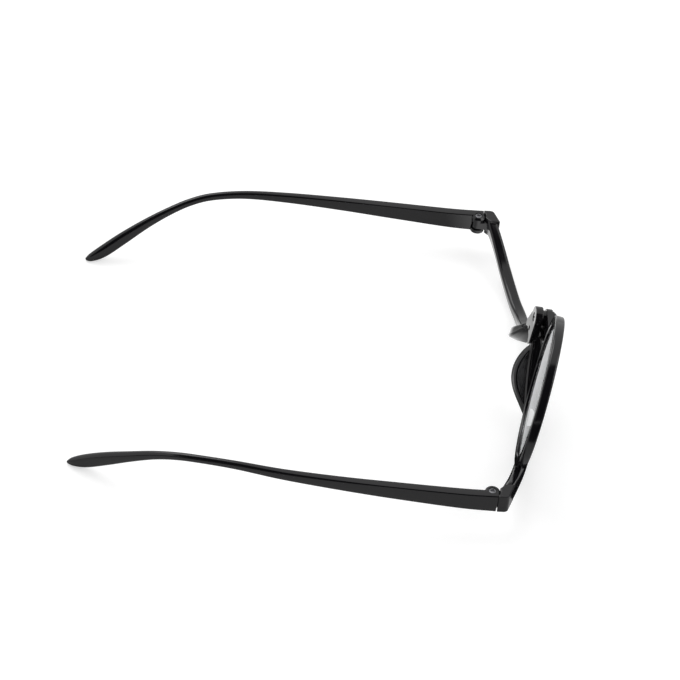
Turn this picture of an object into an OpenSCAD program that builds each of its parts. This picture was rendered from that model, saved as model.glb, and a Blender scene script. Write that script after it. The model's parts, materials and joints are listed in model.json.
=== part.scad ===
// Makeup glasses: one round magnifying lens that swings from eye to eye.
// Millimetres. +Z is up, the front faces -Y, the temples run back along +Y.
// The glasses stand on a table on their temple tips and on the rims.

/* [Front frame] */
// Distance between the two hinge pins
hinge_span = 135; // [128:1:144]
// Distance between the two eye centres
eye_span = 71; // [68:1:74]
// Lean of the front, its top forward, in degrees
front_lean = 7.0; // [5:0.2:9]
// Radius of the curve that the rims wrap around, seen from above
wrap_radius = 150; // [120:5:200]
// Height of the rim bar, across its run
rim_height = 3.8; // [3:0.1:4.6]
// Depth of the rim bar, front to back
rim_depth = 4.2; // [3.4:0.1:5]
// Room between the lens ring and the rim below it
rim_gap = 1.1; // [0.6:0.1:2]
// Height of the end piece in front of each hinge
end_height = 7.5; // [7:0.1:8]
// Edge rounding of the rim bar
rim_round = 1.1; // [0.4:0.1:1.2]

/* [Bridge hub] */
// Height of the lens pivot above the table
pivot_height = 31.5; // [30.5:0.05:33.5]
// How far the lens pivot lies in front of the hinge pins
pivot_forward = 18.2; // [16:0.1:20]
// Diameter of the bridge hub
hub_d = 7.6; // [7:0.1:9]
// Thickness of the bridge hub
hub_t = 2.6; // [2.2:0.1:3.2]

/* [Nose pads] */
// How far the moulded nose pads stand out behind the rims
pad_reach = 5.6; // [4:0.1:6]
// How far the foot of a nose pad bulges towards the nose
pad_bulge = 3.4; // [1:0.1:4]
// Thickness of a nose pad at its rear edge
pad_edge = 1.2; // [1:0.1:1.4]

/* [Lens ring] */
// Diameter of the lens
lens_d = 47.4; // [44:0.2:49]
// Radial wall of the lens ring outside the lens
ring_wall = 2.7; // [2.2:0.1:3.2]
// Lip that holds the lens on each side
ring_lip = 0.6; // [0.4:0.05:0.8]
// Depth of the lens ring, front to back
ring_depth = 3.2; // [3:0.1:4]
// Turn of the lens ring about the vertical, to wrap the face, in degrees
ring_turn = 10.0; // [8:0.5:14]
// How far the centre of the lens ring lies behind the pivot's face
ring_back = 2.8; // [1:0.1:3]
// Edge rounding of the lens ring
ring_round = 0.7; // [0.3:0.1:1]
// Thickness of the lug that carries the ring on the pivot
lug_t = 2.2; // [1.8:0.1:2.6]
// Diameter of the lug
lug_d = 6.8; // [6.2:0.1:8]

/* [Lens] */
// Thickness of the lens at its edge
lens_edge = 1.2; // [1:0.05:1.5]
// Radius of the front surface of the lens
lens_front_radius = 105; // [90:5:160]
// Radius of the rear surface of the lens
lens_rear_radius = 260; // [200:10:400]
// How far the lens edge lies in front of the ring's rear face
lens_inset = 0.9; // [0.8:0.1:1.2]

/* [Lens pivot] */
// Shank diameter of the pivot screw
pivot_d = 1.8; // [1.6:0.1:2]
// Head diameter of the pivot screw
pivot_head_d = 3.2; // [2.8:0.1:3.6]
// Head thickness of the pivot screw
pivot_head_t = 0.7; // [0.6:0.1:0.9]
// How far the head of the pivot screw is sunk in the hub
pivot_sink = 0.2; // [0.1:0.1:0.5]
// Outer diameter of the brass sleeve in the lug
sleeve_d = 3.0; // [2.8:0.1:3.6]
// Diameter of the friction washer between hub and lug
washer_d = 5.0; // [4.4:0.1:6]
// Thickness of the friction washer
washer_t = 1.3; // [1:0.1:1.6]
// Thickness of the thin washer under the cap nut
shim_t = 0.3; // [0.2:0.05:0.5]
// Diameter of the cap nut
nut_d = 4.6; // [4.2:0.1:5]
// Height of the cap nut
nut_t = 1.7; // [1.5:0.1:2.2]
// Running clearance between sleeve and pivot screw, on the radius
turn_play = 0.04; // [0.02:0.01:0.08]

/* [Temples] */
// Length of a temple behind its hinge pin
temple_length = 142.0; // [132:1:150]
// Height of a temple at the hinge
root_height = 7.5; // [7:0.1:8]
// Thickness of a temple at the hinge
root_thick = 3.0; // [2.8:0.1:3.4]
// Height of a temple at the ear bend
neck_height = 2.9; // [2.4:0.1:4]
// Thickness of a temple at the ear bend
neck_thick = 2.2; // [2:0.1:2.8]
// Height of the paddle at the temple tip
paddle_height = 5.0; // [4:0.1:6]
// Thickness of the paddle at the temple tip
paddle_thick = 2.8; // [2.2:0.1:3.4]
// Rise of a temple from the hinge to the ear bend
ear_rise = 8.7; // [5:0.1:9]
// How far the temple tips turn in towards the head
tip_inward = 19; // [14:0.5:22]

/* [Hinges] */
// Radius of the hinge ears and knuckle
ear_r = 2.5; // [2.3:0.05:2.6]
// How far a temple's root reaches in front of its hinge pin
root_reach = 1.8; // [1.6:0.1:2]
// Thickness of each hinge ear
ear_t = 2.0; // [1.8:0.1:2.2]
// Gap between an ear and the knuckle
ear_gap = 0.1; // [0.05:0.05:0.2]
// Gap between the temple and the end piece
hinge_gap = 0.3; // [0.2:0.05:0.5]
// Shank diameter of the hinge screw
hinge_screw_d = 1.4; // [1.2:0.1:1.5]
// Head diameter of the hinge screw
hinge_head_d = 2.5; // [2.2:0.1:2.8]
// Head thickness of the hinge screw
hinge_head_t = 0.8; // [0.6:0.1:1]
// Running clearance of the hinge screw in the knuckle, on the radius
hinge_play = 0.04; // [0.02:0.01:0.08]
// Diameter of the threaded brass insert in the lower ear
insert_d = 2.4; // [2.2:0.1:2.8]
// Length of the threaded brass insert
insert_t = 1.5; // [1.2:0.1:1.7]

/* [Hidden] */

// Sections and round parts
FINE = 96;
CORNER_STEPS = 3;
SPAN_STEPS = 4;

// The hinge pins stand upright at this place along Y, so that the
// bounding box is centred on the origin
lens_front = 5.0;
front_reach = pivot_forward + lens_front;
hinge_y = -(temple_length + 0.16 - front_reach) / 2;
hinge_drop = 18.85;
hinge_z = pivot_height - hinge_drop;
hinge_x = hinge_span / 2;

// The pivot, and the eye centre in the front's own plane
pivot_y = hinge_y - pivot_forward;
eye_x = eye_span / 2;
eye_drop = 0.5;
ring_r = lens_d / 2 + ring_wall;
rim_r = ring_r + rim_gap + rim_height / 2;

// The wrap curve stands this far in front of the pivot's face at the middle
wrap_front = 3.5;

black = [0.05, 0.05, 0.055];
steel = [0.62, 0.62, 0.64];
brass = [0.78, 0.62, 0.32];
clear_glass = [0.82, 0.88, 0.92, 0.35];

function unit(v) = v / norm(v);
function mix(a, b, t) = a + (b - a) * t;

// Smooth curve through four neighbouring stations, at t from 0 to 1
function curve(a, b, c, d, t) =
    0.5 * (2 * b + (c - a) * t + (2 * a - 5 * b + 4 * c - d) * t * t
    + (3 * b - a - 3 * c + d) * t * t * t);

// Stations are lists of numbers; the curve runs through every one of them
function smooth(s, n) = concat(
    [for (i = [0 : len(s) - 2]) for (k = [0 : n - 1])
        curve(s[max(i - 1, 0)], s[i], s[i + 1], s[min(i + 2, len(s) - 1)], k / n)],
    [s[len(s) - 1]]);

// Outline of a rectangle w by h with rounded corners, as points
function rounded(w, h, r) =
    let (q = min(r, w * 0.49, h * 0.49))
    [for (c = [0 : 3]) for (k = [0 : CORNER_STEPS])
        let (a = 90 * c + 90 * k / CORNER_STEPS,
             sx = (c == 0 || c == 3) ? 1 : -1,
             sy = (c < 2) ? 1 : -1)
        [sx * (w / 2 - q) + q * cos(a), sy * (h / 2 - q) + q * sin(a)]];

// Direction of the path at station i
function heading(p, i) = unit(p[min(i + 1, len(p) - 1)] - p[max(i - 1, 0)]);

// Section i of a swept bar: its width lies across the path and across ref
function placed(p, i, ref, w, h, r) =
    let (t = heading(p, i), a = unit(cross(ref, t)), b = cross(t, a))
    [for (q = rounded(w, h, r)) p[i] + a * q[0] + b * q[1]];

// Solid through a list of sections that have the same number of points
module loft(sections) {
    n = len(sections[0]);
    m = len(sections);
    points = [for (s = sections) for (q = s) q];
    sides = [for (i = [0 : m - 2]) for (k = [0 : n - 1])
        let (a = i * n + k, b = i * n + (k + 1) % n)
        each [[a, a + n, b], [b, a + n, b + n]]];
    first_cap = [for (k = [1 : n - 2]) [0, k, k + 1]];
    last = (m - 1) * n;
    last_cap = [for (k = [1 : n - 2]) [last, last + k + 1, last + k]];
    polyhedron(points = points, faces = concat(sides, first_cap, last_cap));
}

// A bar along stations [x, y, z, width, height]
module bar(stations, ref, r) {
    s = smooth(stations, SPAN_STEPS);
    p = [for (q = s) [q[0], q[1], q[2]]];
    loft([for (i = [0 : len(s) - 1]) placed(p, i, ref, s[i][3], s[i][4], r)]);
}

// From the front's own plane (x across, f forward, z up) to the model
function from_front(x, f, z) = [
    x,
    pivot_y - f * cos(front_lean) - z * sin(front_lean),
    pivot_height - f * sin(front_lean) + z * cos(front_lean)];

module on_front() {
    translate([0, pivot_y, pivot_height]) rotate([front_lean, 0, 0]) children();
}

// A disc about the pivot, from f0 to f1 in front of the pivot's face
module pivot_disc(d, f0, f1) {
    on_front() translate([0, -f0, 0]) rotate([90, 0, 0]) cylinder(d = d, h = f1 - f0, $fn = FINE);
}

// Blind moulding pocket in the rear of the web, below the pivot
pocket_drop = 5.5;
pocket_d = 1.8;
pocket_deep = 1.2;

// Faces along the pivot, forward of the pivot's face
hub_front = -0.5;
hub_rear = hub_front - hub_t;
lug_rear = hub_front + washer_t;
lug_front = lug_rear + lug_t;
shim_front = lug_front + shim_t;
nut_front = shim_front + nut_t;

// Forward place of the rim's middle at x across the face
function wrap(x) = wrap_front - x * x / (2 * wrap_radius);

// A point of the rim's round part, a degrees round the eye centre
function rim_point(a) = [eye_x + rim_r * cos(a), rim_r * sin(a) - eye_drop];

// The rim runs back from the wrap curve to the hub over this width
hub_recess = wrap_front - (hub_front + hub_rear) / 2;
recess_x = 28;
function rim_forward(x) = wrap(x) - hub_recess * max(0, 1 - x / recess_x);

// The end piece, seen from above: places outward and forward of the pin
temple_out = root_thick - 0.2;
end_rear = root_reach + hinge_gap;
ear_room = ear_r + hinge_gap;
knuckle_r = ear_r - 0.5;
end_inner_x = -3;
end_front_out = 4.4;
end_front_in = 7.8;
end_cut = 2.4;
knuckle_t = root_height - 2 * ear_t - 2 * ear_gap;

// Where the rim's middle meets the end piece, in the front's own plane
rim_end_x = hinge_x + 0.2;
rim_end_z = (hinge_z - pivot_height) * cos(front_lean) + (5 - pivot_forward) * sin(front_lean);

// Nasal legs, round part and rising outer part of a rim, as
// [x, z, height, depth, shift forward]; the legs come forward below the lug
leg_forward = 1.2;
end_thinner = 0.8;
nasal = [
    [0.8, -1.5, rim_height, hub_t, 0],
    [3.1, -5.0, rim_height, mix(hub_t, rim_depth, 0.1), 0],
    [5.0, -8.2, rim_height, mix(hub_t, rim_depth, 0.35) + leg_forward, leg_forward / 2],
    [8.2, -13.8, rim_height, mix(hub_t, rim_depth, 0.7) + leg_forward / 2, leg_forward / 4]
];
round_part = [for (a = [220 : 13 : 285]) concat(rim_point(a), [rim_height, rim_depth, 0])];
rim_low = rim_point(285);
outer_part = [for (t = [0.28, 0.52, 0.74, 0.9, 1])
    [mix(rim_low[0], rim_end_x, t), mix(rim_low[1], rim_end_z, (t + t * t * (3 - 2 * t)) / 2),
     mix(rim_height, end_height + 0.2, pow(max(0, t - 0.3) / 0.7, 2)),
     rim_depth - end_thinner * t * t, end_thinner * t * t / 2]];
rim_stations = concat(nasal, round_part, outer_part);

module one_rim() {
    bar([for (q = rim_stations) concat(from_front(q[0], rim_forward(q[0]) + q[4], q[1]), [q[2], q[3]])],
        [0, 1, 0], rim_round);
}

// A nose pad is a thin wing behind the nasal leg, deepest at its middle
pad_root = 2.4;
pad_stations = smooth([for (i = [2 : 6]) rim_stations[i]], 2 * SPAN_STEPS);

// Swell of a pad along its length, from 0 at its ends to 1
function swell(u) = pow(sin(180 * pow(u, 0.8)), 1.4);

// Section of a pad: flat on its outer side, broad at the rear, sloping
// on the side of the nose
function pad_section(p, i, reach, bulge) =
    let (t = heading(p, i), a = unit(cross([0, 1, 0], t)), b = cross(t, a),
         back = b[1] > 0 ? b : -b, rear = rim_depth / 2 + reach)
    [for (q = [[-pad_root / 2, -0.6], [-pad_root / 2, rear - 1.3 * pad_edge],
               [-pad_root / 2 + 0.2 * pad_edge, rear - 0.9 * pad_edge],
               [-pad_root / 2 + 0.6 * pad_edge, rear - 0.65 * pad_edge],
               [0.1 + 0.25 * bulge, rear - 0.3 * pad_edge], [0.3 + 0.45 * bulge, rear],
               [0.5 + 0.62 * bulge, rear - 0.3 * pad_edge], [0.9 + 0.8 * bulge, rear * 0.6],
               [pad_root / 2 + 0.95 * bulge, 0.5], [pad_root / 2 + 0.8 * bulge, -0.4], [pad_root / 2, -0.6]])
        p[i] + a * q[0] + back * q[1]];

module one_pad() {
    n = len(pad_stations) - 1;
    p = [for (q = pad_stations) from_front(q[0], rim_forward(q[0]), q[1])];
    loft([for (i = [n : -1 : 0])
        pad_section(p, i, pad_reach * swell(i / n) - 0.7, pad_bulge * swell(i / n))]);
}

// Upright piece of the front ahead of the hinge, and the knuckle in its hollow
module one_end_piece() {
    corner = 1.6;
    difference() {
        translate([hinge_x, hinge_y, hinge_z - end_height / 2])
            linear_extrude(end_height)
                polygon(concat(
                    [[end_inner_x, -end_front_in], [end_inner_x, -end_rear - end_cut],
                     [end_inner_x + end_cut, -end_rear], [temple_out, -end_rear]],
                    [for (a = [0 : 15 : 60])
                        [temple_out - corner * (1 - cos(a)), -end_front_out - corner * sin(a)]]));
        ear_hollow();
    }
    translate([hinge_x, hinge_y, hinge_z - knuckle_t / 2]) {
        cylinder(r = knuckle_r, h = knuckle_t, $fn = FINE);
        translate([-knuckle_r, -ear_room - 0.5, 0]) cube([knuckle_r + 0.9, ear_room + 0.5, knuckle_t]);
    }
}

module hinge_hole(d) {
    translate([hinge_x, hinge_y, hinge_z - end_height]) cylinder(d = d, h = 2 * end_height, $fn = FINE);
}

// Round hollow of the end piece, in which the ears turn
module ear_hollow() {
    translate([hinge_x, hinge_y, hinge_z - end_height])
        cylinder(r = ear_room, h = 2 * end_height, $fn = FINE);
}

// Room behind the end piece for the root of a temple
module temple_room() {
    translate([hinge_x - ear_room - 0.2, hinge_y - end_rear, hinge_z - end_height])
        cube([2 * ear_room + 2, 3 * ear_room, 2 * end_height]);
    ear_hollow();
}

// Web that joins the hub to both nasal legs, arched below over the nose; it
// thickens to the rear, and in front it has a ledge under the arm of the lens
web_low = 8.8;
arch_side = 7.3;
arch_top = 6.7;
web_back = 0.5;
ledge_top = 4.5;
ledge_front = 1.5;
module front_prism(outline, f0, f1) {
    on_front() translate([0, -f0, 0]) rotate([90, 0, 0]) linear_extrude(f1 - f0) polygon(outline);
}

module bridge_web() {
    arch = [[-0.6 * hub_d, -web_low], [-0.34 * hub_d, -arch_side], [0, -arch_top],
            [0.34 * hub_d, -arch_side], [0.6 * hub_d, -web_low]];
    outline = concat([[-hub_d / 2, 0], [-0.78 * hub_d, -arch_top]], arch,
                     [[0.78 * hub_d, -arch_top], [hub_d / 2, 0]]);
    intersection() {
        front_prism(outline, hub_rear - web_back, hub_front);
        on_front() translate([-hub_d, 0, 0]) rotate([90, 0, 90]) linear_extrude(2 * hub_d)
            polygon([[-hub_front, 0], [-hub_front, -2 * web_low],
                     [web_back - hub_rear, -2 * web_low], [web_back - hub_rear, -web_low], [-hub_rear, -1]]);
    }
    front_prism(concat([[0.7 * hub_d, -ledge_top], [-0.7 * hub_d, -ledge_top]], arch),
                hub_front - 0.5, ledge_front);
}

module front_frame() {
    color(black) difference() {
        union() {
            for (side = [0, 1]) mirror([side, 0, 0]) {
                difference() {
                    one_rim();
                    temple_room();
                }
                one_pad();
                one_end_piece();
            }
            pivot_disc(hub_d, hub_rear, hub_front);
            bridge_web();
        }
        for (side = [0, 1]) mirror([side, 0, 0]) hinge_hole(hinge_screw_d + 2 * hinge_play);
        on_front() translate([0, -hub_rear + web_back + 1, -pocket_drop]) rotate([90, 0, 0])
            cylinder(d = pocket_d, h = 1 + pocket_deep, $fn = FINE);
        pivot_disc(pivot_d + 0.1, hub_rear - 1, hub_front + 2);
        pivot_disc(pivot_head_d + 0.1, hub_rear - 2, hub_rear + pivot_sink + pivot_head_t);
        pivot_disc(washer_d + 0.4, hub_front, hub_front + rim_depth);
    }
}

// The lens ring's own place: its axis runs through the lens, forward is +Z
module at_ring() {
    on_front() translate([-eye_x, ring_back, -eye_drop])
        rotate([0, 0, -ring_turn]) rotate([90, 0, 0]) children();
}

ring_clear_r = lens_d / 2 - ring_lip;
lens_rear_z = -ring_depth / 2 + lens_inset;
lens_play = 0.04;

module ring_band() {
    c = ring_round;
    h = ring_depth / 2;
    rotate_extrude($fn = 2 * FINE) difference() {
        polygon([[ring_clear_r, -h + 0.3], [ring_clear_r + 0.3, -h], [ring_r - c, -h],
                 [ring_r - 0.3 * c, -h + 0.3 * c], [ring_r, -h + c], [ring_r, h - c],
                 [ring_r - 0.3 * c, h - 0.3 * c], [ring_r - c, h], [ring_clear_r + 0.3, h],
                 [ring_clear_r, h - 0.3]]);
        translate([0, lens_rear_z]) square([lens_d / 2 + lens_play, lens_edge + lens_play]);
    }
}

module lens_ring() {
    arm_x = ring_r - eye_x - 1.6;
    arm_z = 0.55 * lug_d;
    color(black) difference() {
        union() {
            at_ring() ring_band();
            pivot_disc(lug_d, lug_rear, lug_front);
            on_front() translate([0, -lug_rear, 0]) rotate([90, 0, 0]) linear_extrude(lug_t)
                polygon([[0, lug_d / 2], [0, -lug_d / 2], [arm_x, -arm_z - eye_drop],
                         [arm_x, arm_z - eye_drop]]);
        }
        pivot_disc(sleeve_d, lug_rear - 1, lug_front + 3);
    }
}

// Meniscus lens with a flat flange that sits in the ring's groove
module magnifying_lens() {
    front_sag = lens_front_radius - sqrt(pow(lens_front_radius, 2) - pow(ring_clear_r, 2));
    rear_sag = lens_rear_radius - sqrt(pow(lens_rear_radius, 2) - pow(ring_clear_r, 2));
    color(clear_glass) at_ring() translate([0, 0, lens_rear_z]) difference() {
        union() {
            cylinder(d = lens_d, h = lens_edge, $fn = 2 * FINE);
            intersection() {
                cylinder(r = ring_clear_r, h = lens_edge + front_sag + 1, $fn = 2 * FINE);
                translate([0, 0, lens_edge + front_sag - lens_front_radius])
                    sphere(r = lens_front_radius, $fn = 2 * FINE);
            }
        }
        translate([0, 0, rear_sag - lens_rear_radius]) sphere(r = lens_rear_radius, $fn = 2 * FINE);
    }
}

// Slotted screw from the rear of the hub
module pivot_screw() {
    slot_w = 0.6;
    slot_deep = 0.3;
    head_rear = hub_rear + pivot_sink;
    color(steel) difference() {
        union() {
            pivot_disc(pivot_head_d, head_rear, head_rear + pivot_head_t);
            pivot_disc(pivot_d, head_rear, nut_front - 0.5);
        }
        on_front() rotate([0, 45, 0])
            translate([-slot_w / 2, -head_rear - slot_deep, -pivot_head_d])
                cube([slot_w, 2 * slot_deep, 2 * pivot_head_d]);
    }
}

module pivot_sleeve() {
    color(brass) difference() {
        pivot_disc(sleeve_d, lug_rear, lug_front);
        pivot_disc(pivot_d + 2 * turn_play, lug_rear - 1, lug_front + 1);
    }
}

module friction_washer() {
    color(steel) difference() {
        pivot_disc(washer_d, hub_front, lug_rear);
        pivot_disc(pivot_d + 0.1, hub_front - 1, lug_rear + 1);
    }
}

module pivot_shim() {
    color(steel) difference() {
        pivot_disc(nut_d + 0.3, lug_front, shim_front);
        pivot_disc(pivot_d + 0.1, lug_front - 1, shim_front + 1);
    }
}

// Domed nut that closes the front of the pivot
module pivot_cap_nut() {
    r = nut_d / 2;
    color(steel) difference() {
        on_front() translate([0, -shim_front, 0]) rotate([90, 0, 0])
            rotate_extrude($fn = FINE)
                polygon(concat([[0, 0], [r, 0]],
                    [for (a = [0 : 10 : 90]) [r * cos(a), nut_t * (0.45 + 0.55 * sin(a))]]));
        pivot_disc(pivot_d, shim_front - 1, nut_front - 0.5);
    }
}

// Stations of a temple: [share of the length, rise, share of the inward turn, height, thickness]
tip_drop = hinge_z - 0.85;
root_mid = mix(root_height, neck_height, 0.6);
temple_stations = [
    [-root_reach / temple_length, 0, 0, root_height, root_thick],
    [0.07, 0.06 * ear_rise, 0, mix(root_height, neck_height, 0.1), root_thick],
    [0.21, 0.29 * ear_rise, 0, mix(root_height, neck_height, 0.34), mix(root_thick, neck_thick, 0.25)],
    [0.35, 0.54 * ear_rise, 0.01, root_mid, mix(root_thick, neck_thick, 0.5)],
    [0.49, 0.8 * ear_rise, 0.05, mix(root_height, neck_height, 0.82), mix(root_thick, neck_thick, 0.75)],
    [0.6, ear_rise, 0.13, mix(root_height, neck_height, 0.96), neck_thick],
    [0.685, ear_rise, 0.23, neck_height, neck_thick],
    [0.741, mix(ear_rise, -tip_drop, 0.065), 0.34, neck_height, neck_thick],
    [0.794, mix(ear_rise, -tip_drop, 0.2), 0.47, mix(neck_height, paddle_height, 0.15), neck_thick],
    [0.85, mix(ear_rise, -tip_drop, 0.4), 0.61, mix(neck_height, paddle_height, 0.5),
     mix(neck_thick, paddle_thick, 0.5)],
    [0.907, mix(ear_rise, -tip_drop, 0.64), 0.77, paddle_height, paddle_thick],
    [0.956, mix(ear_rise, -tip_drop, 0.86), 0.91, paddle_height, paddle_thick],
    [0.986, mix(ear_rise, -tip_drop, 0.965), 0.98, 0.66 * paddle_height, 0.75 * paddle_thick],
    [1, mix(ear_rise, -tip_drop, 1), 1, 0.2 * paddle_height, 0.25 * paddle_thick]
];

module temple_arm() {
    edge = 0.4;
    mid_x = hinge_x + temple_out - root_thick / 2;
    s = smooth([for (q = temple_stations)
        [mid_x - q[2] * tip_inward, hinge_y + q[0] * temple_length, hinge_z + q[1], q[4], q[3], q[0]]],
        SPAN_STEPS);
    p = [for (q = s) [q[0], q[1], q[2]]];
    loft([for (i = [0 : len(s) - 1])
        placed(p, i, [0, 0, 1], s[i][3], s[i][4], mix(edge, 1.4, min(1, max(0, s[i][5] * 1.6 - 0.4))))]);
}

module at_hinge(z) {
    translate([hinge_x, hinge_y, hinge_z + z]) children();
}

// A hinge ear, bevelled at its outer face
module ear() {
    bevel = 0.8;
    rise = 0.6;
    cylinder(r1 = ear_r - bevel, r2 = ear_r, h = rise, $fn = FINE);
    translate([0, 0, rise]) cylinder(r = ear_r, h = ear_t - rise, $fn = FINE);
}

// A temple for the wearer's left: arm, two ears, and the room for the knuckle
module temple() {
    top = root_height / 2;
    difference() {
        union() {
            temple_arm();
            at_hinge(top) mirror([0, 0, 1]) ear();
            at_hinge(-top) ear();
        }
        at_hinge(-top + ear_t)
            cylinder(r = knuckle_r + hinge_gap, h = root_height - 2 * ear_t, $fn = FINE);
        at_hinge(-top - 1) cylinder(d = hinge_screw_d + 0.02, h = root_height + 2, $fn = FINE);
        at_hinge(top - hinge_head_t - 0.2)
            cylinder(d = hinge_head_d + 0.1, h = hinge_head_t + 1, $fn = FINE);
        at_hinge(-top - 1) cylinder(d = insert_d, h = 1 + insert_t, $fn = FINE);
    }
}

module left_temple() {
    color(black) temple();
}

module right_temple() {
    color(black) mirror([1, 0, 0]) temple();
}

// Cross-recessed hinge screw, its head sunk in the upper ear
module hinge_screw() {
    top = root_height / 2 - 0.2;
    cross_w = 0.45;
    color(steel) difference() {
        union() {
            at_hinge(top - hinge_head_t) cylinder(d = hinge_head_d, h = hinge_head_t, $fn = FINE);
            at_hinge(-root_height / 2 + 0.1)
                cylinder(d = hinge_screw_d, h = top + root_height / 2 - 0.1 - hinge_head_t / 2, $fn = FINE);
        }
        for (turn = [0, 90]) at_hinge(top - 0.4) rotate([0, 0, turn])
            translate([-0.8, -cross_w / 2, 0]) cube([1.6, cross_w, 1]);
    }
}

module left_hinge_screw() {
    hinge_screw();
}

module right_hinge_screw() {
    mirror([1, 0, 0]) hinge_screw();
}

module hinge_insert() {
    color(brass) difference() {
        at_hinge(-root_height / 2) cylinder(d = insert_d, h = insert_t, $fn = FINE);
        at_hinge(-root_height / 2 - 1) cylinder(d = hinge_screw_d + 0.02, h = insert_t + 2, $fn = FINE);
    }
}

module left_hinge_insert() {
    hinge_insert();
}

module right_hinge_insert() {
    mirror([1, 0, 0]) hinge_insert();
}

front_frame();
lens_ring();
magnifying_lens();
pivot_screw();
pivot_sleeve();
friction_washer();
pivot_shim();
pivot_cap_nut();
left_temple();
right_temple();
left_hinge_screw();
right_hinge_screw();
left_hinge_insert();
right_hinge_insert();
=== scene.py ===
import json
import math

import bmesh
import bpy
from mathutils import Matrix, Vector


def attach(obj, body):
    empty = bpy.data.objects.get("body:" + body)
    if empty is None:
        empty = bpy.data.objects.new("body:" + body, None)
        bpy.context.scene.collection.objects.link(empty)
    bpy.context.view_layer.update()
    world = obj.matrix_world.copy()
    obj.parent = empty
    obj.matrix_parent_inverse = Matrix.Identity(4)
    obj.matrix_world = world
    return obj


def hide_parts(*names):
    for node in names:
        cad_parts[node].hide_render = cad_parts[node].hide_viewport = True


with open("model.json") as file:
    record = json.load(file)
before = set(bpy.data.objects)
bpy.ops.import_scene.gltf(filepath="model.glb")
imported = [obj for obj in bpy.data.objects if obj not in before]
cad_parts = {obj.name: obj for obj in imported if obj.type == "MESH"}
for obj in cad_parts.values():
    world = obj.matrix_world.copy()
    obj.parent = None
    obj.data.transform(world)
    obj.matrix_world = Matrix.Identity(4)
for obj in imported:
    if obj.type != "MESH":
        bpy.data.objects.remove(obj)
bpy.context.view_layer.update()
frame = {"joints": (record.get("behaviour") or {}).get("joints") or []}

MM = 0.001

# Places that the frame gives, in millimetres, and the lean of the front
joints = {joint["name"]: joint for joint in frame["joints"]}
pin = Vector(joints["left_fold"]["pos_m"]) / MM
pivot = Vector(joints["lens_swing"]["pos_m"]) / MM
swing = Vector(joints["lens_swing"]["axis"])
lean = math.atan2(swing.z, swing.y)

# Lens and ring
lens_d = 47.4
ring_wall = 2.7
ring_lip = 0.6
ring_depth = 3.2
ring_round = 0.7
ring_turn = math.radians(10.0)
ring_back = 2.8
lens_edge = 1.2
lens_inset = 0.9
lens_front_radius = 105
lens_rear_radius = 260
eye_x = 35.5
eye_drop = 0.5
ring_r = lens_d / 2 + ring_wall
ring_clear_r = lens_d / 2 - ring_lip
lens_low = -ring_depth / 2 + lens_inset

# Clearances, from a washer's to a free hole's
hair = 0.02
lens_play = 0.04
close_play = 0.08
play = 0.1

# Front
wrap_radius = 150
wrap_front = 3.5
rim_height = 3.8
rim_depth = 4.2
rim_round = 1.1
rim_gap = 1.1
rim_r = ring_r + rim_gap + rim_height / 2
end_height = 7.5
recess_x = 28
leg_forward = 1.2
end_thinner = 0.8
pad_reach = 5.6
pad_bulge = 3.4
pad_edge = 1.2
pad_root = 2.4
pad_sunk = 0.6
pad_shy = 0.7
end_inside = 3
end_front = 7.8
end_bevel = 2.4
end_corner = 1.6
end_front_out = 4.4

# Pivot, with places forward of its face
hub_d = 7.6
hub_front = -0.5
hub_rear = hub_front - 2.6
lug_d = 6.8
lug_rear = hub_front + 1.3
lug_front = lug_rear + 2.2
shim_front = lug_front + 0.3
nut_front = shim_front + 1.7
pivot_d = 1.8
pivot_head_d = 3.2
pivot_head_t = 0.7
pivot_sink = 0.2
head_rear = hub_rear + pivot_sink
sleeve_d = 3.0
washer_d = 5.0
nut_d = 4.6
nut_cap = 0.5
slot_half = 0.3
slot_deep = 0.3
pocket_drop = 5.5
pocket_d = 1.8
pocket_deep = 1.2
web_low = 8.8
web_back = 0.5
arch_side = 7.3
arch_top = 6.7
ledge_top = 4.5
ledge_front = 1.5
arm_overlap = 1.6
arm_flare = 0.55

# Temples and hinges
temple_length = 142.0
root_height = 7.5
root_thick = 3.0
neck_height = 2.9
neck_thick = 2.2
paddle_height = 5.0
paddle_thick = 2.8
ear_rise = 8.7
tip_inward = 19
tip_drop = pin.z - 0.85
root_reach = 1.8
ear_r = 2.5
ear_bevel = 0.8
ear_bevel_rise = 0.6
ear_t = 2.0
ear_gap = 0.1
hinge_gap = 0.3
hinge_screw_d = 1.4
hinge_head_d = 2.5
hinge_head_t = 0.8
hinge_head_sunk = 0.2
cross_half_length = 0.75
cross_half_width = 0.28
cross_deep = 0.45
insert_d = 2.4
insert_t = 1.5
knuckle_t = root_height - 2 * ear_t - 2 * ear_gap
temple_out = root_thick - 0.2
end_rear = root_reach + hinge_gap
ear_room = ear_r + hinge_gap
knuckle_r = ear_r - 0.5


# Shells are (points, faces) in millimetres


def between(a, b, t):
    return a + (b - a) * t


def smooth_run(stations, steps):
    """Stations in between, on a smooth curve through every given one."""
    last = len(stations) - 1

    def spline(a, b, c, d, t):
        square = 2 * a - 5 * b + 4 * c - d
        cube = 3 * b - a - 3 * c + d
        return 0.5 * (2 * b + (c - a) * t + square * t**2 + cube * t**3)

    run = []
    for i in range(last):
        four = stations[max(i - 1, 0)], stations[i], stations[i + 1], stations[min(i + 2, last)]
        run += [[spline(*values, k / steps) for values in zip(*four)] for k in range(steps)]
    return run + [list(stations[last])]


def rounded_outline(width, height, edge, steps=6):
    edge = min(edge, width * 0.49, height * 0.49)
    points = []
    for corner, (sx, sy) in enumerate([(1, 1), (-1, 1), (-1, -1), (1, -1)]):
        for k in range(steps + 1):
            a = math.radians(90 * corner + 90 * k / steps)
            x = sx * (width / 2 - edge) + edge * math.cos(a)
            y = sy * (height / 2 - edge) + edge * math.sin(a)
            points.append((x, y))
    return points


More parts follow.
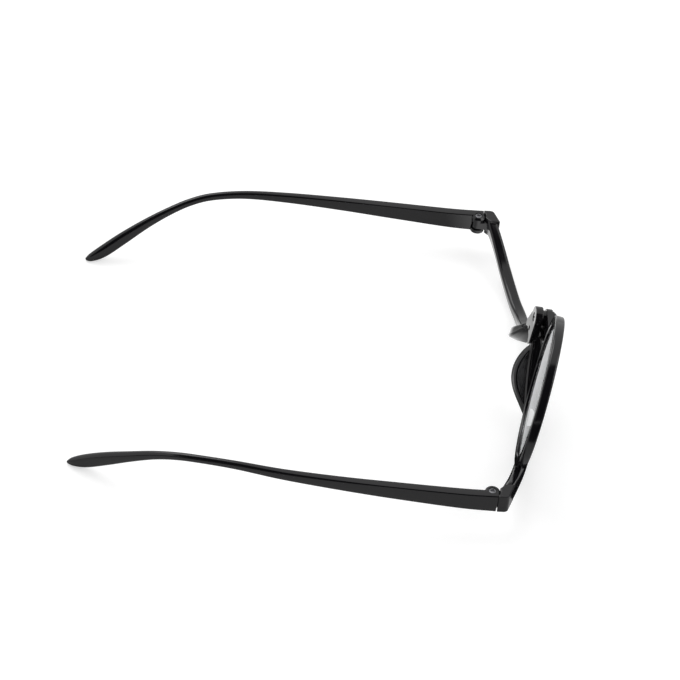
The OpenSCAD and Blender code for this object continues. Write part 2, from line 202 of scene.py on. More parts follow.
def section_axes(path, i, ref):
    ahead = (path[min(i + 1, len(path) - 1)] - path[max(i - 1, 0)]).normalized()
    side = ref.cross(ahead).normalized()
    return side, ahead.cross(side)


def loft(sections):
    """A shell through sections that have the same number of points."""
    count = len(sections[0])
    points = [point for section in sections for point in section]
    faces = []
    for i in range(len(sections) - 1):
        for k in range(count):
            a, b = i * count + k, i * count + (k + 1) % count
            faces.append((a, b, b + count, a + count))
    faces.append(tuple(range(count))[::-1])
    faces.append(tuple(range(len(points) - count, len(points))))
    return points, faces


def swept_bar(stations, ref, edge, steps):
    """A bar along stations [x, y, z, width, height], its edges rounded."""
    run = smooth_run(stations, steps)
    path = [Vector(station[:3]) for station in run]
    sections = []
    for i, station in enumerate(run):
        side, rise = section_axes(path, i, ref)
        corner = edge(station) if callable(edge) else edge
        outline = rounded_outline(station[3], station[4], corner)
        sections.append([path[i] + side * a + rise * b for a, b in outline])
    return loft(sections)


def lathe(profile, place, segments=96):
    """A shell turned about the local Z axis from a closed profile of (radius, height)."""
    points, rings = [], []
    for radius, height in profile:
        turns = 1 if radius < 1e-6 else segments
        rings.append(range(len(points), len(points) + turns))
        for k in range(turns):
            a = 2 * math.pi * k / segments
            points.append(place @ Vector((radius * math.cos(a), radius * math.sin(a), height)))
    faces = []
    for i, near in enumerate(rings):
        far = rings[(i + 1) % len(rings)]
        for k in range(segments):
            a, b = near[k % len(near)], near[(k + 1) % len(near)]
            c, d = far[(k + 1) % len(far)], far[k % len(far)]
            face = tuple(dict.fromkeys((a, b, c, d)))
            if len(face) > 2:
                faces.append(face)
    return points, faces


def prism(outline, low, high, place):
    """An outline in the local XY plane, from low to high along local Z."""
    return loft([[place @ Vector((x, y, z)) for x, y in outline] for z in (low, high)])


def slab(low, high, place):
    (x0, y0, z0), (x1, y1, z1) = low, high
    return prism([(x0, y0), (x1, y0), (x1, y1), (x0, y1)], z0, z1, place)


def mirrored(shell):
    points, faces = shell
    return [Vector((-p[0], p[1], p[2])) for p in points], [face[::-1] for face in faces]


def both_sides(shells):
    return shells + [mirrored(shell) for shell in shells]


def for_side(side):
    """What turns a shell at the left hinge into one for the named side."""
    return mirrored if side == "right" else (lambda shell: shell)


def from_front(x, f, z):
    """From the front's own plane (across, forward, up from the pivot) to the model."""
    return Vector(
        (
            x,
            pivot.y - f * math.cos(lean) - z * math.sin(lean),
            pivot.z - f * math.sin(lean) + z * math.cos(lean),
        )
    )


# On the pivot and on the ring, forward is local +Z and up is local +Y
upright = Matrix.Rotation(math.radians(90), 4, "X")
on_front = Matrix.Translation(pivot) @ Matrix.Rotation(lean, 4, "X")
on_pivot = on_front @ upright
on_ring = (
    on_front
    @ Matrix.Translation((-eye_x, ring_back, -eye_drop))
    @ Matrix.Rotation(-ring_turn, 4, "Z")
    @ upright
)
at_pin = Matrix.Translation(pin)


def disc(diameter, low, high, place, edge=0.0, bore=0.0):
    """A round plate with eased rims, and a bore if it is asked for."""
    r = diameter / 2
    rim = [(r, high)]
    if edge:
        quarter = [math.radians(d) for d in (0, 30, 60, 90)]
        rim = [(r - edge * (1 - math.cos(a)), high - edge * (1 - math.sin(a))) for a in quarter]
    underside = [(radius, low + high - z) for radius, z in reversed(rim)]
    return lathe([(bore / 2, low), *underside, *rim, (bore / 2, high)], place)


# Objects from shells


def linked(obj):
    """The object, put into the scene."""
    bpy.context.scene.collection.objects.link(obj)
    return obj


def solid(name, shells):
    """One object that holds the shells, its faces pointing outwards."""
    points, faces = [], []
    for shell_points, shell_faces in shells:
        start = len(points)
        points += [Vector(p) * MM for p in shell_points]
        faces += [tuple(start + k for k in face) for face in shell_faces]
    mesh = bpy.data.meshes.new(name)
    mesh.from_pydata(points, [], faces)
    work = bmesh.new()
    work.from_mesh(mesh)
    bmesh.ops.recalc_face_normals(work, faces=work.faces)
    work.to_mesh(mesh)
    work.free()
    return linked(bpy.data.objects.new(name, mesh))


def settled(obj):
    """The object with its modifiers made part of its mesh."""
    evaluated = obj.evaluated_get(bpy.context.evaluated_depsgraph_get())
    mesh = bpy.data.meshes.new_from_object(evaluated)
    mesh.name = obj.name
    obj.modifiers.clear()
    obj.data = mesh
    return obj


def fused(obj, voxel, polish):
    """One closed skin over the shells, with small fillets where they meet, as a moulding has."""
    skin = obj.modifiers.new("skin", "REMESH")
    skin.mode = "VOXEL"
    skin.voxel_size = voxel * MM
    ease = obj.modifiers.new("polish", "SMOOTH")
    ease.factor = 0.5
    ease.iterations = polish
    settled(obj)


def combined(obj, shells, operation):
    for number, shell in enumerate(shells):
        tool = solid(f"{obj.name} tool {number}", [shell])
        change = obj.modifiers.new("change", "BOOLEAN")
        change.operation = operation
        change.solver = "EXACT"
        change.object = tool
        settled(obj)
        bpy.data.objects.remove(tool)
    return obj


def without(shell, *cuts):
    """A shell with other shells cut away."""
    blank = combined(solid("blank", [shell]), cuts, "DIFFERENCE")
    points = [vertex.co / MM for vertex in blank.data.vertices]
    faces = [tuple(face.vertices) for face in blank.data.polygons]
    bpy.data.objects.remove(blank)
    return points, faces


def finished(obj, material, body, slot, *stands_for, crease=35):
    """Shades a piece, gives it its material, and puts it on its body in place of its CAD nodes."""
    mesh = obj.data
    mesh.polygons.foreach_set("use_smooth", [True] * len(mesh.polygons))
    mesh.set_sharp_from_angle(angle=math.radians(crease))
    mesh.materials.clear()
    mesh.materials.append(material)
    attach(obj, body)
    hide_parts(*stands_for)


# Materials


class Socket:
    """A shader socket that adds its own Math nodes when it is used in an expression."""

    def __init__(self, tree, link):
        self.tree = tree
        self.link = link

    def math(self, operation, *values):
        node = self.tree.nodes.new("ShaderNodeMath")
        node.operation = operation
        for socket, value in zip(node.inputs, values):
            put(self.tree, socket, value)
        return Socket(self.tree, node.outputs[0])

    def __add__(self, other):
        return self.math("ADD", self, other)

    def __sub__(self, other):
        return self.math("SUBTRACT", self, other)

    def __mul__(self, other):
        return self.math("MULTIPLY", self, other)

    def limit(self):
        """The same value, kept from 0 to 1."""
        return self.math("MINIMUM", self.math("MAXIMUM", self, 0.0), 1.0)

    def ramp(self, start, full):
        """0 up to start and 1 from full on."""
        slope = 1 / (full - start)
        return (self * slope + -start * slope).limit()


def put(tree, socket, value):
    """Sets a socket's own value, or links another socket to it."""
    if isinstance(value, Socket):
        tree.links.new(value.link, socket)
    else:
        socket.default_value = value


class Shader:
    """A node tree, with one method for every node that isn't arithmetic."""

    def __init__(self, owner):
        self.owner = owner
        owner.use_nodes = True
        self.tree = owner.node_tree
        self.tree.nodes.clear()

    def node(self, kind, output, **values):
        made = self.tree.nodes.new(kind)
        for socket, value in values.items():
            put(self.tree, made.inputs[socket.replace("_", " ")], value)
        return Socket(self.tree, made.outputs[output])

    def noise(self, per_metre, detail=3.0, rough=0.55):
        place = self.node("ShaderNodeTexCoord", "Object")
        return self.node(
            "ShaderNodeTexNoise",
            "Fac",
            Vector=place,
            Scale=per_metre,
            Detail=detail,
            Roughness=rough,
        )

    def blend(self, share, first, second):
        """A colour between two, by share."""
        made = self.tree.nodes.new("ShaderNodeMix")
        made.data_type = "RGBA"
        put(self.tree, made.inputs[0], share)
        made.inputs[6].default_value = (*first, 1)
        made.inputs[7].default_value = (*second, 1)
        return Socket(self.tree, made.outputs[2])

    def seen_by(self, *rays):
        """1 for the named kinds of ray, 0 for the others."""
        shares = [self.node("ShaderNodeLightPath", f"Is {ray} Ray") for ray in rays]
        return sum(shares[1:], shares[0]).limit()

    def end(self, kind, shader):
        made = self.tree.nodes.new(kind)
        self.tree.links.new(shader.link, made.inputs["Surface"])
        return self.owner


def black_plastic():
    """Polished black moulding: faint flow in the gloss, hair scuffs and a barely uneven skin."""
    s = Shader(bpy.data.materials.new("black gloss plastic"))
    flow = s.noise(45.0)
    scuff = (s.noise(1400.0, 6.0, 0.75) * 5.0 - 3.0).limit()
    uneven = s.noise(500.0, 2.0)
    skin = s.node("ShaderNodeBump", "Normal", Strength=0.08, Distance=0.0001, Height=uneven)
    gloss = s.node(
        "ShaderNodeBsdfPrincipled",
        0,
        Base_Color=s.blend(flow, (0.003, 0.003, 0.0035), (0.006, 0.0055, 0.007)),
        Roughness=flow * 0.08 + scuff * 0.12 + 0.1,
        IOR=1.46,
        Normal=skin,
    )
    return s.end("ShaderNodeOutputMaterial", gloss)


def clear_lens():
    """Cast magnifying lens, clear, with the faintest haze."""
    s = Shader(bpy.data.materials.new("clear lens"))
    haze = s.noise(120.0)
    clear = s.node(
        "ShaderNodeBsdfPrincipled",
        0,
        Base_Color=(0.96, 0.97, 0.98, 1),
        Roughness=haze * 0.03,
        IOR=1.49,
        Transmission_Weight=1.0,
    )
    return s.end("ShaderNodeOutputMaterial", clear)


def metal(name, dark, light, rough):
    """Turned metal with a fine grain."""
    s = Shader(bpy.data.materials.new(name))
    grain = s.noise(2500.0, 2.0)
    turned = s.node(
        "ShaderNodeBsdfPrincipled",
        0,
        Base_Color=s.blend(grain, dark, light),
        Roughness=grain * 0.15 + rough,
        Metallic=1.0,
    )
    return s.end("ShaderNodeOutputMaterial", turned)


plastic = black_plastic()
lens_clear = clear_lens()
steel = metal("blackened steel", (0.07, 0.07, 0.075), (0.15, 0.15, 0.16), 0.28)
screw_steel = metal("dark screw steel", (0.13, 0.13, 0.14), (0.22, 0.22, 0.23), 0.28)
bright_steel = metal("worn steel", (0.30, 0.30, 0.31), (0.45, 0.45, 0.46), 0.25)
brass = metal("insert brass", (0.62, 0.44, 0.16), (0.80, 0.60, 0.28), 0.25)


# Front moulding


def wrap(x):
    return wrap_front - x * x / (2 * wrap_radius)


def rim_forward(x):
    hub_recess = wrap_front - (hub_front + hub_rear) / 2
    return wrap(x) - hub_recess * max(0, 1 - x / recess_x)


def rim_point(degrees):
    a = math.radians(degrees)
    return eye_x + rim_r * math.cos(a), rim_r * math.sin(a) - eye_drop


def rim_stations():
    """Nasal leg, round part and rising outer part, as [x, z, height, depth, shift forward]."""
    hub_t = hub_front - hub_rear
    nasal = [
        [0.8, -1.5, rim_height, hub_t, 0],
        [3.1, -5.0, rim_height, between(hub_t, rim_depth, 0.1), 0],
        [5.0, -8.2, rim_height, between(hub_t, rim_depth, 0.35) + leg_forward, leg_forward / 2],
        [8.2, -13.8, rim_height, between(hub_t, rim_depth, 0.7) + leg_forward / 2, leg_forward / 4],
    ]
    curve = [[*rim_point(a), rim_height, rim_depth, 0] for a in range(220, 286, 13)]
    x0, z0 = rim_point(285)
    forward = pin.y - pivot.y
    x1 = pin.x + 0.2
    z1 = (pin.z - pivot.z) * math.cos(lean) + (5 - forward) * math.sin(lean)
    outer = [
        [
            between(x0, x1, t),
            between(z0, z1, (t + t * t * (3 - 2 * t)) / 2),
            between(rim_height, end_height + 0.2, (max(0, t - 0.3) / 0.7) ** 2),
            rim_depth - end_thinner * t * t,
            end_thinner * t * t / 2,
        ]
        for t in (0.28, 0.52, 0.74, 0.9, 1)
    ]
    return nasal + curve + outer


def rim_shell():
    stations = []
    for x, z, height, depth, shift in rim_stations():
        stations.append([*from_front(x, rim_forward(x) + shift, z), height, depth])
    return swept_bar(stations, Vector((0, 1, 0)), rim_round, 10)


def swell(u):
    """How far a pad has grown, at share u of its length: 0 at both ends, 1 near the middle."""
    return max(0.0, math.sin(math.pi * u**0.8)) ** 1.4


def pad_shell():
    """Moulded nose pad: flat outside, broad at the rear, sloping on the side of the nose."""
    run = smooth_run(rim_stations()[2:7], 14)
    path = [from_front(x, rim_forward(x), z) for x, z, *_ in run]
    half = pad_root / 2
    sections = []
    for i in range(len(path)):
        u = i / (len(path) - 1)
        side, back = section_axes(path, i, Vector((0, 1, 0)))
        back = back if back.y > 0 else -back
        rear = rim_depth / 2 + pad_reach * swell(u) - pad_shy
        bulge = pad_bulge * swell(u)
        outline = [
            (-half, -pad_sunk),
            (-half, rear - 1.3 * pad_edge),
            (-half + 0.2 * pad_edge, rear - 0.9 * pad_edge),
            (-half + 0.6 * pad_edge, rear - 0.65 * pad_edge),
            (0.1 + 0.25 * bulge, rear - 0.3 * pad_edge),
            (0.3 + 0.45 * bulge, rear),
            (0.5 + 0.62 * bulge, rear - 0.3 * pad_edge),
            (0.9 + 0.8 * bulge, rear * 0.6),
            (half + 0.95 * bulge, 0.5),
            (half + 0.8 * bulge, -0.4),
            (half, -pad_sunk),
        ]
        sections.append([path[i] + side * a + back * b for a, b in outline])
    return loft(sections)


def ear_hollow():
    """Room behind an end piece for the ears of a temple to turn in."""
    return disc(2 * ear_room, -end_height, end_height, at_pin)


def end_piece_shell():
    """Block at the end of a rim, its outer front corner rounded, hollowed for the ears."""
    outline = [
        (-end_inside, -end_front),
        (-end_inside, -end_rear - end_bevel),
        (end_bevel - end_inside, -end_rear),
        (temple_out, -end_rear),
    ]
    for degrees in range(0, 61, 10):
        a = math.radians(degrees)
        x = temple_out - end_corner * (1 - math.cos(a))
        outline.append((x, -end_front_out - end_corner * math.sin(a)))
    return without(prism(outline, -end_height / 2, end_height / 2, at_pin), ear_hollow())


def web_shells():
    """Web under the hub, thicker to the rear, and its ledge in front under the arm of the lens."""
    foot, side = 0.6 * hub_d, 0.34 * hub_d
    waist, ledge_half = 0.78 * hub_d, 0.7 * hub_d
    arch = [
        (-foot, -web_low),
        (-side, -arch_side),
        (0, -arch_top),
        (side, -arch_side),
        (foot, -web_low),
    ]
    outline = [(-hub_d / 2, 0), (-waist, -arch_top), *arch, (waist, -arch_top), (hub_d / 2, 0)]
    rear, far_rear = hub_rear - web_back, hub_rear - 3
    web = prism(outline, rear, hub_front, on_pivot)
    # What slopes off the rear of the web, as (up, forward), run from side to side
    spare = [(-web_low, rear), (-1, hub_rear), (1, hub_rear), (1, far_rear), (-web_low, far_rear)]
    across = on_pivot @ Matrix(((0, 0, 1, 0), (1, 0, 0, 0), (0, 1, 0, 0), (0, 0, 0, 1)))
    ledge_outline = [(ledge_half, -ledge_top), (-ledge_half, -ledge_top), *arch]
    ledge = prism(ledge_outline, hub_front - 0.5, ledge_front, on_pivot)
    return [without(web, prism(spare, -hub_d, hub_d, across)), ledge]


def make_front():
    """One moulding of rims, pads, end pieces, knuckles, hub and web, then its holes."""
    room_low = (-ear_room - 0.2, -end_rear, -end_height)
    room_high = (ear_room + 2, 3 * ear_room, end_height)
    rim = without(rim_shell(), slab(room_low, room_high, at_pin), ear_hollow())
    low, high = -knuckle_t / 2, knuckle_t / 2
    knuckle = disc(2 * knuckle_r, low, high, at_pin)
    neck = slab((-knuckle_r, -ear_room - 0.5, low), (0.9, 0, high), at_pin)
    hub = disc(hub_d, hub_rear, hub_front, on_pivot)
    shells = both_sides([rim, pad_shell(), end_piece_shell(), knuckle, neck]) + [hub] + web_shells()
    front = solid("front_moulding", shells)
    fused(front, voxel=0.16, polish=4)
    hole = disc(hinge_screw_d + close_play, -end_height, end_height, at_pin)
    below = on_pivot @ Matrix.Translation((0, -pocket_drop, 0))
    web_rear = hub_rear - web_back
    cuts = [
        hole,
        mirrored(hole),
        disc(pivot_d + play, hub_rear - 1, hub_front + 2, on_pivot),
        disc(pivot_head_d + play, hub_rear - 2, head_rear + pivot_head_t, on_pivot),
        disc(washer_d + 0.4, hub_front, hub_front + rim_depth, on_pivot),
        disc(pocket_d, web_rear - 1, web_rear + pocket_deep, below),
    ]
    combined(front, cuts, "DIFFERENCE")
    finished(front, plastic, "front", "black_plastic", "front_frame")


# Lens, its ring and the pivot


def make_ring():
    """Holder of the lens, rounded outside and grooved inside, with its arm and lug."""
    inner, bevel = ring_clear_r, 0.15
    groove = lens_d / 2 + lens_play
    low, high = lens_low, lens_low + lens_edge + lens_play
    h, c = ring_depth / 2, ring_round
    arc = [math.radians(a) for a in (0, 18, 36, 54, 72, 90)]
    rear = [(ring_r - c + c * math.sin(a), -h + c - c * math.cos(a)) for a in arc]
    front = [(r, -z) for r, z in reversed(rear)]
    profile = [(inner + bevel, -h), *rear, *front, (inner + bevel, h), (inner, h - bevel)]
    profile += [(inner, high), (groove, high), (groove, low), (inner, low), (inner, -h + bevel)]
    arm_x, arm_z = ring_r - eye_x - arm_overlap, arm_flare * lug_d
    arm = [(0, lug_d / 2), (0, -lug_d / 2), (arm_x, -arm_z - eye_drop), (arm_x, arm_z - eye_drop)]
    ring = solid("lens_ring_moulding", [lathe(profile, on_ring, 256)])
    lug = disc(lug_d, lug_rear, lug_front, on_pivot, edge=0.25)
    combined(ring, [prism(arm, lug_rear + 0.05, lug_front - 0.05, on_pivot), lug], "UNION")
    combined(ring, [disc(sleeve_d, lug_rear - 1, lug_front + 3, on_pivot)], "DIFFERENCE")
    finished(ring, plastic, "lens_carrier", "black_plastic", "lens_ring", crease=50)


def make_lens():
    """Meniscus with a flat flange in the ring's groove."""
    low, high = lens_low, lens_low + lens_edge

    def sag(radius, r):
        return radius - math.sqrt(radius**2 - r**2)

    def face(start, radius):
        """The curve of one face, from the middle to the flange."""
        steps = [ring_clear_r * k / 24 for k in range(25)]
        return [(r, start + sag(radius, ring_clear_r) - sag(radius, r)) for r in steps]

    rear, front = face(low, lens_rear_radius), face(high, lens_front_radius)
    profile = [*rear, (lens_d / 2, low), (lens_d / 2, high), *reversed(front)]
    lens = solid("lens_blank", [lathe(profile, on_ring, 192)])
    finished(lens, lens_clear, "lens_carrier", "clear_lens", "magnifying_lens", crease=20)


def make_pivot_screw():
    """Screw through the hub, its slotted head at the rear and its end inside the nut."""
    head = disc(pivot_head_d, head_rear, head_rear + pivot_head_t, on_pivot, edge=0.15)
    screw = solid("pivot_slotted_screw", [head])
    combined(screw, [disc(pivot_d, head_rear + slot_deep, nut_front - nut_cap, on_pivot)], "UNION")
    turned = on_pivot @ Matrix.Rotation(math.radians(45), 4, "Z")
    slot_low = (-slot_half, -pivot_head_d, head_rear - 1)
    slot_high = (slot_half, pivot_head_d, head_rear + slot_deep)
    combined(screw, [slab(slot_low, slot_high, turned)], "DIFFERENCE")
    finished(screw, bright_steel, "front", "steel", "pivot_screw")


def make_pivot_rings():
    """Sleeve in the lug, friction washer behind it and thin washer under the nut."""
    free = pivot_d + play
    sleeve = disc(sleeve_d, lug_rear, lug_front, on_pivot, bore=pivot_d + close_play)
    washer = disc(washer_d, hub_front, lug_rear - hair, on_pivot, edge=0.2, bore=free)
    shim = disc(nut_d + 0.3, lug_front + hair, shim_front, on_pivot, edge=0.08, bore=free)
    for name, shell, material, body, slot, stands_for in (
        ("pivot_brass_sleeve", sleeve, brass, "lens_carrier", "brass", "pivot_sleeve"),
        ("pivot_friction_washer", washer, steel, "front", "steel", "friction_washer"),
        ("pivot_thin_washer", shim, steel, "front", "steel", "pivot_shim"),
    ):
        finished(solid(name, [shell]), material, body, slot, stands_for)


def make_pivot_nut():
    """Domed nut at the front, blind over the end of the screw."""
    r, t = nut_d / 2, nut_front - shim_front
    profile = [(0, shim_front), (r - 0.1, shim_front), (r, shim_front + 0.1)]
    for degrees in range(0, 90, 6):
        a = math.radians(degrees)
        profile.append((r * math.cos(a), shim_front + t * (0.45 + 0.55 * math.sin(a))))
    nut = solid("pivot_domed_nut", [lathe([*profile, (0, nut_front)], on_pivot)])
    combined(nut, [disc(pivot_d, shim_front - 1, nut_front - nut_cap, on_pivot)], "DIFFERENCE")
    finished(nut, steel, "front", "steel", "pivot_cap_nut")


# Temples and hinges


def temple_stations():
    """From hinge to tip, as [share of length, rise, share of inward turn, height, thickness]."""

    def high(t):
        return between(root_height, neck_height, t)

    def thick(t):
        return between(root_thick, neck_thick, t)

    def fall(t):
        return between(ear_rise, -tip_drop, t)

    def paddle(t):
        return between(neck_height, paddle_height, t)

    return [
        [-root_reach / temple_length, 0, 0, root_height, root_thick],
        [0.07, 0.06 * ear_rise, 0, high(0.1), root_thick],
        [0.21, 0.29 * ear_rise, 0, high(0.34), thick(0.25)],
        [0.35, 0.54 * ear_rise, 0.01, high(0.6), thick(0.5)],
        [0.49, 0.8 * ear_rise, 0.05, high(0.82), thick(0.75)],
        [0.6, ear_rise, 0.13, high(0.96), neck_thick],
        [0.685, ear_rise, 0.23, neck_height, neck_thick],
        [0.741, fall(0.065), 0.34, neck_height, neck_thick],
        [0.794, fall(0.2), 0.47, paddle(0.15), neck_thick],
        [0.85, fall(0.4), 0.61, paddle(0.5), between(neck_thick, paddle_thick, 0.5)],
        [0.907, fall(0.64), 0.77, paddle_height, paddle_thick],
        [0.956, fall(0.86), 0.91, paddle_height, paddle_thick],
        [0.986, fall(0.965), 0.98, 0.66 * paddle_height, 0.75 * paddle_thick],
        [1, fall(1), 1, 0.2 * paddle_height, 0.25 * paddle_thick],
    ]


def temple_shell():
    middle = pin.x + temple_out - root_thick / 2
    stations = []
    for share, rise, turn, height, thick in temple_stations():
        x, y = middle - turn * tip_inward, pin.y + share * temple_length
        stations.append([x, y, pin.z + rise, thick, height, share])

    def edge(station):
        """Crisp at the root, rounded towards the paddle."""
        return between(0.4, 1.4, min(1, max(0, station[5] * 1.6 - 0.4)))

    return swept_bar(stations, Vector((0, 0, 1)), edge, 12)


def make_temple(side):
    """Temple with two ears on its hinge pin, and the holes for screw and insert."""
    flip = for_side(side)
    top = root_height / 2
    temple = solid(f"{side}_temple_moulding", [flip(temple_shell())])
    ear = [
        (0, top),
        (ear_r - ear_bevel, top),
        (ear_r, top - ear_bevel_rise),
        (ear_r, top - ear_t),
        (0, top - ear_t),
    ]
    ears = [lathe([(r, side_up * z) for r, z in ear], at_pin) for side_up in (1, -1)]
    combined(temple, [flip(ear) for ear in ears], "UNION")
    cuts = [
        disc(2 * (knuckle_r + hinge_gap), -top + ear_t, top - ear_t, at_pin),
        disc(hinge_screw_d + hair, -top - 1, top + 1, at_pin),
        disc(hinge_head_d + play, top - hinge_head_t - hinge_head_sunk, top + 1, at_pin),
        disc(insert_d, -top - 1, -top + insert_t, at_pin),
    ]
    combined(temple, [flip(cut) for cut in cuts], "DIFFERENCE")
    finished(temple, plastic, f"{side}_arm", "black_plastic", f"{side}_temple")


def make_hinge_screw(side):
    """Cross-recessed screw, sunk in the upper ear."""
    flip = for_side(side)
    top = root_height / 2 - hinge_head_sunk
    head = disc(hinge_head_d, top - hinge_head_t, top, at_pin, edge=0.2)
    shank = disc(hinge_screw_d, -root_height / 2 + 0.1, top - 0.2, at_pin, edge=0.1)
    screw = solid(f"{side}_hinge_cross_screw", [flip(head)])
    combined(screw, [flip(shank)], "UNION")
    low = (-cross_half_length, -cross_half_width, top - cross_deep)
    high = (cross_half_length, cross_half_width, top + 1)
    for turn in (20, 110):
        place = at_pin @ Matrix.Rotation(math.radians(turn), 4, "Z")
        combined(screw, [flip(slab(low, high, place))], "DIFFERENCE")
    finished(screw, screw_steel, f"{side}_arm", "steel", f"{side}_hinge_screw")


def knurl_tree():
    """Geometry Nodes: ridges round a tube, from its radius, length and their number."""
    tree = bpy.data.node_groups.new("knurl", "GeometryNodeTree")
    tree.interface.new_socket("Geometry", in_out="INPUT", socket_type="NodeSocketGeometry")
    kinds = dict.fromkeys(("Radius", "Length", "Depth"), "Float")
    kinds |= {"Ridges": "Int", "Finish": "Material"}
    for name, kind in kinds.items():
        tree.interface.new_socket(name, in_out="INPUT", socket_type=f"NodeSocket{kind}")
    tree.interface.new_socket("Geometry", in_out="OUTPUT", socket_type="NodeSocketGeometry")
    start = tree.nodes.new("NodeGroupInput")
    circle = tree.nodes.new("GeometryNodeMeshCircle")
    ridge = tree.nodes.new("GeometryNodeMeshCube")
    size = tree.nodes.new("ShaderNodeCombineXYZ")
    position = tree.nodes.new("GeometryNodeInputPosition")
    face_out = tree.nodes.new("FunctionNodeAlignRotationToVector")
    placed = tree.nodes.new("GeometryNodeInstanceOnPoints")
    both = tree.nodes.new("GeometryNodeJoinGeometry")
    real = tree.nodes.new("GeometryNodeRealizeInstances")
    coat = tree.nodes.new("GeometryNodeSetMaterial")
    end = tree.nodes.new("NodeGroupOutput")
    face_out.axis = "X"
    link = tree.links.new
    link(start.outputs["Ridges"], circle.inputs["Vertices"])
    link(start.outputs["Radius"], circle.inputs["Radius"])
    link(start.outputs["Depth"], size.inputs["X"])
    link(start.outputs["Depth"], size.inputs["Y"])
    link(start.outputs["Length"], size.inputs["Z"])
    link(size.outputs[0], ridge.inputs["Size"])
    link(position.outputs[0], face_out.inputs["Vector"])
    link(circle.outputs["Mesh"], placed.inputs["Points"])
    link(ridge.outputs["Mesh"], placed.inputs["Instance"])
    link(face_out.outputs[0], placed.inputs["Rotation"])
    link(start.outputs["Geometry"], both.inputs[0])
    link(placed.outputs[0], both.inputs[0])
    link(both.outputs[0], real.inputs[0])
    link(real.outputs[0], coat.inputs["Geometry"])
    link(start.outputs["Finish"], coat.inputs["Material"])
    link(coat.outputs[0], end.inputs["Geometry"])
    return tree


def make_insert(side, tree):
    """Knurled brass insert in the lower ear."""
    half, bore = insert_t / 2, hinge_screw_d + hair
    tube = disc(insert_d - play, -half, half, Matrix.Identity(4), bore=bore)
    insert = solid(f"{side}_hinge_knurled_insert", [tube])
    knurl = insert.modifiers.new("knurl", "NODES")
    knurl.node_group = tree
    values = {
        "Radius": (insert_d / 2 - 0.05) * MM,
        "Length": (insert_t - 0.3) * MM,
        "Depth": 0.09 * MM,
        "Ridges": 28,
        "Finish": brass,
    }
    for socket in tree.interface.items_tree:
        if socket.in_out == "INPUT" and socket.name in values:
            knurl[socket.identifier] = values[socket.name]
    settled(insert)
    x = pin.x if side == "left" else -pin.x
    middle = Vector((x, pin.y, pin.z - root_height / 2 + half))
    insert.data.transform(Matrix.Translation(middle * MM))
    finished(insert, brass, f"{side}_arm", "brass", f"{side}_hinge_insert")


# Studio


def flat_card(name, size, material):
    """A flat rectangle round the origin."""
    across, up = size
    corners = [(-across, -up), (across, -up), (across, up), (-across, up)]
    mesh = bpy.data.meshes.new(name)
    mesh.from_pydata([(x / 2, y / 2, 0) for x, y in corners], [], [(0, 1, 2, 3)])
    mesh.materials.append(material)
    return linked(bpy.data.objects.new(name, mesh))


def make_floor():
    """White table with the soft shadow of the glasses. Gloss sees it brighter by the bridge, a
    painted reflection.
    """
    s = Shader(bpy.data.materials.new("white table"))
    matt = s.node("ShaderNodeBsdfPrincipled", 0, Base_Color=(0.62, 0.62, 0.62, 1), Roughness=0.9)
    matt.link.node.inputs["Specular IOR Level"].default_value = 0.1
    seen = s.seen_by("Camera", "Transmission")
    lift = s.node("ShaderNodeEmission", 0, Color=(1, 1, 1, 1), Strength=seen * 0.5)
    place = s.node("ShaderNodeTexCoord", "Object")
    x = s.node("ShaderNodeSeparateXYZ", "X", Vector=place)
    y = s.node("ShaderNodeSeparateXYZ", "Y", Vector=place)
    # Painted reflection: a white patch on the table by the bridge, seen only by glossy rays
    painted_reflection_mask = x.ramp(-0.0125, 0.0) * y.ramp(-0.0744, -0.0704) * y.ramp(-0.05, -0.06)
    painted_reflection_colour = s.blend(painted_reflection_mask, (0, 0, 0), (1, 1, 1))
    painted_reflection = s.node("ShaderNodeEmission", 0, Color=painted_reflection_colour, Strength=s.seen_by("Glossy"))
    total = matt
    for light in (lift, painted_reflection):
        both = s.node("ShaderNodeAddShader", 0)
        s.tree.links.new(total.link, both.link.node.inputs[0])
        s.tree.links.new(light.link, both.link.node.inputs[1])
        total = both
    s.end("ShaderNodeOutputMaterial", total)
    flat_card("table_top", (6.0, 6.0), s.owner)


def make_world():
    world = bpy.data.worlds.new("studio")
    bpy.context.scene.world = world
    s = Shader(world)
    strength = s.seen_by("Camera", "Glossy", "Transmission") * 0.3 + 0.7
    sky = s.node("ShaderNodeBackground", 0, Color=(1, 1, 1, 1), Strength=strength)
    s.end("ShaderNodeOutputWorld", sky)


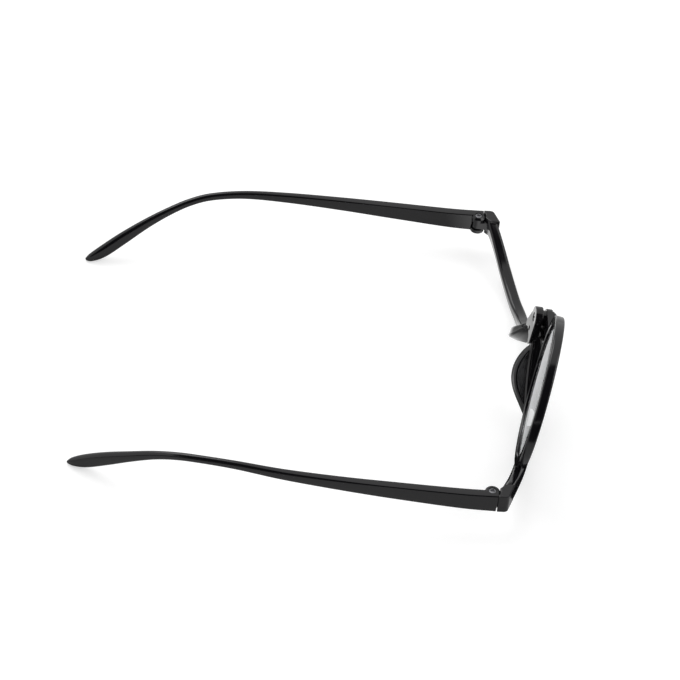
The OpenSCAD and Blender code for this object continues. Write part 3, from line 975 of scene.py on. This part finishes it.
def soft_box(name, place, size, watts):
    lamp = bpy.data.lights.new(name, "AREA")
    lamp.shape = "RECTANGLE"
    lamp.size, lamp.size_y = size
    lamp.energy = watts
    box = linked(bpy.data.objects.new(name, lamp))
    box.location = place
    box.rotation_mode = "QUATERNION"
    box.rotation_quaternion = (-Vector(place)).to_track_quat("-Z", "Y")


def dark_reflection_card(name, place, size, facing):
    """A dark card that only gloss sees, a painted dark reflection that gives black plastic its deep
    faces.
    """
    s = Shader(bpy.data.materials.new(name))
    matt = s.node("ShaderNodeBsdfDiffuse", 0, Color=(0.01, 0.01, 0.01, 1))
    s.end("ShaderNodeOutputMaterial", matt)
    card = flat_card(name, size, s.owner)
    card.location = place
    card.rotation_mode = "QUATERNION"
    card.rotation_quaternion = Vector(facing).to_track_quat("Z", "Y")
    card.visible_camera = False
    card.visible_diffuse = False
    card.visible_shadow = False
    card.visible_transmission = False


def make_camera():
    """About 1 m away, looking down 45 degrees along the front from the wearer's right."""
    right = Vector((0, -0.9974, 0.0715))
    up = Vector((0.7071, 0.0506, 0.7053))
    back = Vector((-0.7071, 0.0506, 0.7053))
    camera = bpy.data.cameras.new("camera")
    camera.lens = 151.4
    camera.sensor_width = 36.0
    camera.clip_start, camera.clip_end = 0.05, 20.0
    holder = linked(bpy.data.objects.new("camera", camera))
    holder.rotation_mode = "QUATERNION"
    holder.rotation_quaternion = Matrix((right, up, back)).transposed().to_quaternion()
    holder.location = (-0.7033, pivot.y * MM + 0.11926, pivot.z * MM + 0.68585)
    bpy.context.scene.camera = holder


make_front()
make_ring()
make_lens()
make_pivot_screw()
make_pivot_rings()
make_pivot_nut()
knurl = knurl_tree()
for side in ("left", "right"):
    make_temple(side)
    make_hinge_screw(side)
    make_insert(side, knurl)

make_floor()
make_world()
soft_box("key", (0.7, 0.5, 1.3), (1.0, 1.0), 8.0)
soft_box("fill", (-0.2, -1.2, 1.0), (1.0, 1.0), 5.0)
# Painted dark reflections: black cards that only glossy rays see, beside the camera, on the table
# and under the near rim
dark_reflection_card("camera_side_dark_reflection", (-0.9, 0.07, 0.9), (2.2, 2.3), (-0.9, 0.07, 0.9))
dark_reflection_card("table_dark_reflection", (-1.61, 0.0, 0.0003), (3.0, 5.0), (0, 0, 1))
dark_reflection_card("rim_dark_reflection", (-0.039, -0.0755, 0.0003), (0.038, 0.039), (0, 0, 1))
make_camera()
bpy.context.scene.view_settings.view_transform = "Standard"
